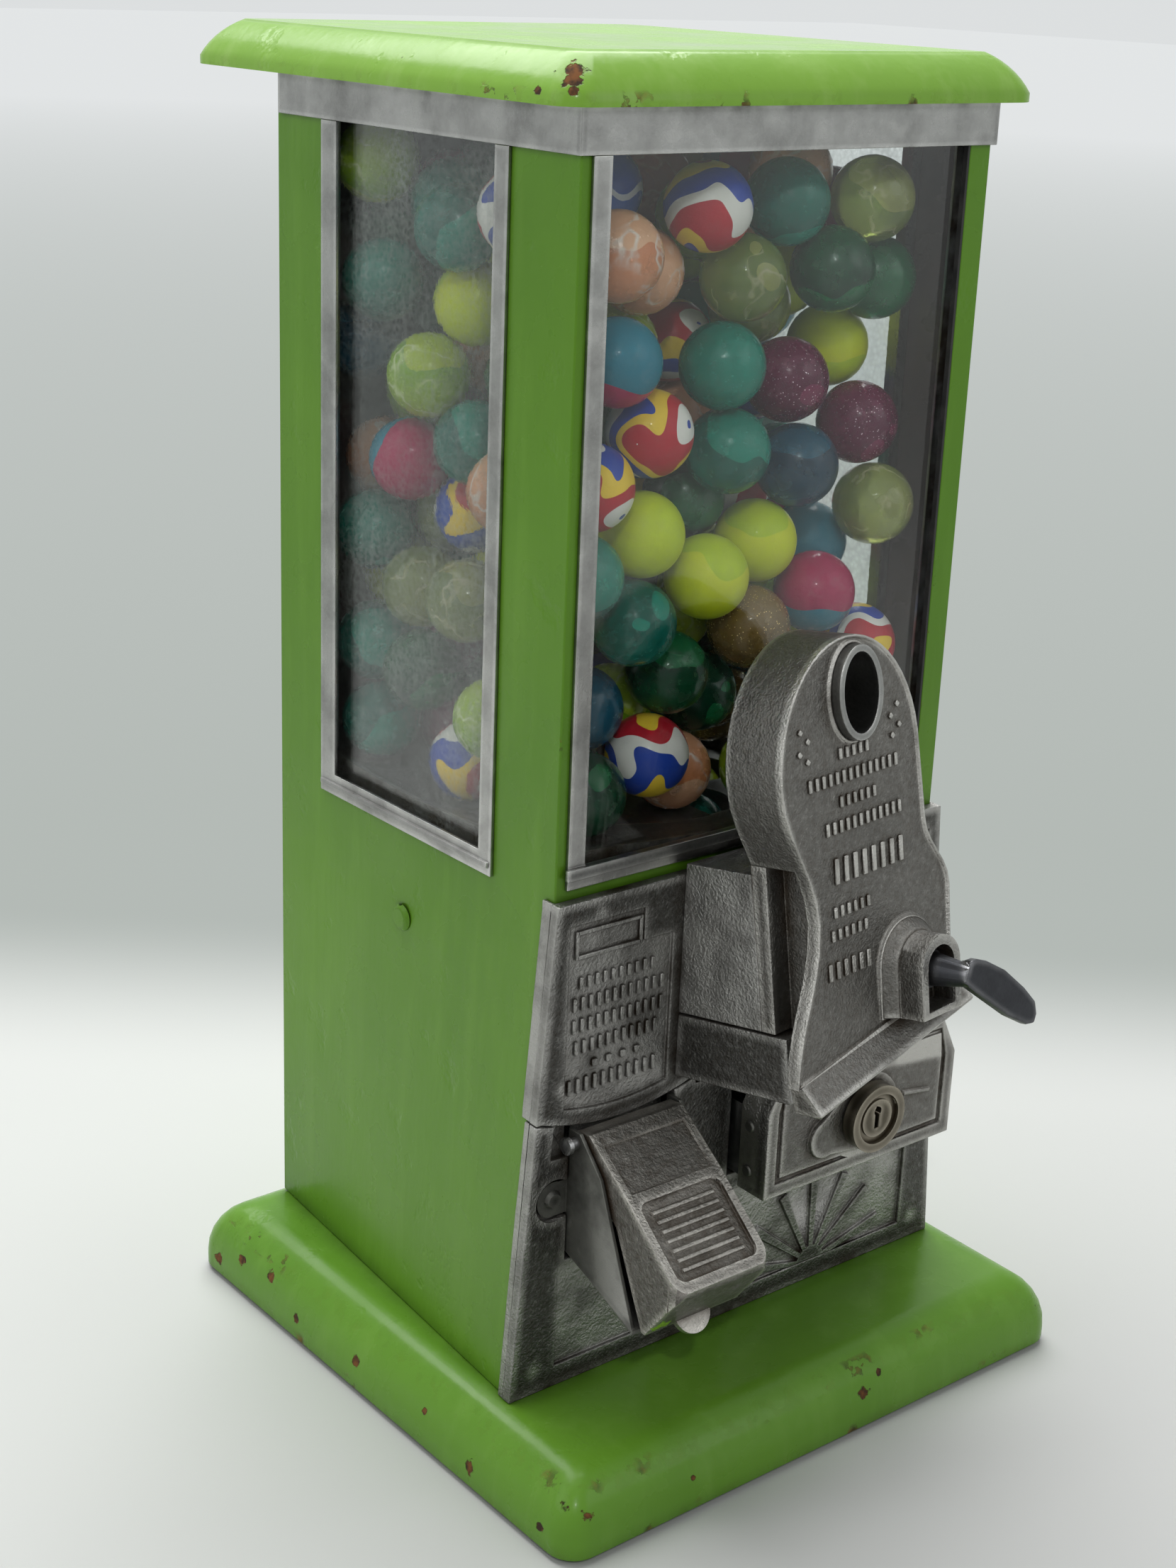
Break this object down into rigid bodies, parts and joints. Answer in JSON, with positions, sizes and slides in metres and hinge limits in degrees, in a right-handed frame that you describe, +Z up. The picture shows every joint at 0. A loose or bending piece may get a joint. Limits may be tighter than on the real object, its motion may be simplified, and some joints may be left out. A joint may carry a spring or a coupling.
{
  "type": "gumball vending machine",
  "caption": "Countertop ball vending machine with glass hopper, hinged lid, coin handle turning a vend wheel, chute flap and lockable cash drawer.",
  "frame": {"origin": "on the floor under the middle of the cabinet's plan, in the bottom face of the rubber pad", "axes": "+Z up, -Y towards the front with the coin head, +X to the right seen from the front"},
  "size_m": [0.203, 0.2475, 0.402],
  "materials": {
    "green_enamel": "gloss enamel, chipped at the edges",
    "bright_aluminium": "satin polished strip",
    "cast_aluminium": "sand cast, rubbed bright on raised edges",
    "steel": "plain",
    "dark_steel": "blackened, worn",
    "brass": "plain",
    "lock_brass": "worn nickel over brass",
    "window_glass": "clear, dusty inside",
    "pad_rubber": "matte",
    "ball_rubber": "smooth, many colours"
  },
  "bodies": {
    "cabinet": {"base": "green_enamel", "base_pad": "pad_rubber", "cabinet": "green_enamel", "case_screws": "steel", "trim_band": "bright_aluminium", "case_leaf": "steel", "hinge_pin": "steel", "left_window_trim": "bright_aluminium", "right_window_trim": "bright_aluminium", "front_window_trim": "bright_aluminium", "left_glass": "window_glass", "right_glass": "window_glass", "front_glass": "window_glass", "glass_clips": "steel", "upper_plate": "cast_aluminium", "lower_plate": "cast_aluminium", "plate_screws": "steel", "mech_housing": "cast_aluminium", "mech_ledge": "cast_aluminium", "coin_head": "cast_aluminium", "coin_ring": "bright_aluminium", "coin_track": "steel", "handle_bush": "brass", "pawl_pin": "steel", "shaft_bracket": "steel", "hopper_floor": "cast_aluminium", "wheel_spindle": "steel", "drop_guard": "steel", "ball_load": "ball_rubber", "inner_chute": "cast_aluminium", "chute_sides": "bright_aluminium", "chute_rivets": "bright_aluminium", "flap_pin": "steel", "box_runners": "steel", "side_rivets": "green_enamel"},
    "lid": {"lid": "green_enamel", "lid_leaf": "steel"},
    "handle": {"handle_shaft": "steel", "thumb_handle": "dark_steel", "coin_wheel": "brass", "pinion": "brass"},
    "wheel": {"vend_wheel": "bright_aluminium", "wheel_pegs": "steel", "agitator": "cast_aluminium", "pocket_balls": "ball_rubber"},
    "pawl": {"coin_pawl": "steel"},
    "flap": {"chute_flap": "cast_aluminium"},
    "drawer": {"cash_door": "cast_aluminium", "cash_box": "dark_steel", "box_rivets": "bright_aluminium", "lock_barrel": "lock_brass", "lock_nut": "lock_brass"},
    "lock": {"lock_plug": "lock_brass", "lock_cam": "steel"}
  },
  "joints": [
    {"name": "lid_hinge", "type": "hinge", "parent": "cabinet", "child": "lid", "pos_m": [0, 0.0751, 0.3852], "axis": [-1, 0, 0], "range_deg": [0, 92]},
    {"name": "handle_turn", "type": "hinge", "parent": "cabinet", "child": "handle", "pos_m": [0.01196, -0.07032, 0.14712], "axis": [-0.1204, 0.9803, -0.1564], "range_deg": [0, 360]},
    {"name": "wheel_turn", "type": "hinge", "parent": "cabinet", "child": "wheel", "pos_m": [0.0028, 0.0043, 0.166], "axis": [0, 0, 1], "range_deg": [0, 60]},
    {"name": "pawl_swing", "type": "hinge", "parent": "cabinet", "child": "pawl", "pos_m": [-0.00783, -0.1061, 0.17464], "axis": [0.1204, -0.9803, 0.1564], "range_deg": [0, 12]},
    {"name": "flap_hinge", "type": "hinge", "parent": "cabinet", "child": "flap", "pos_m": [-0.049, -0.077, 0.105], "axis": [-1, 0, 0], "range_deg": [0, 50]},
    {"name": "drawer_slide", "type": "slide", "parent": "cabinet", "child": "drawer", "axis": [0, -1, 0], "range_m": [0, 0.08]},
    {"name": "lock_turn", "type": "hinge", "parent": "drawer", "child": "lock", "pos_m": [0.033, -0.092, 0.092], "axis": [0, -1, 0], "range_deg": [0, 90]}
  ],
  "couplings": [
    {"joint": "wheel_turn", "follows": "handle_turn", "ratio": 0.16667}
  ]
}
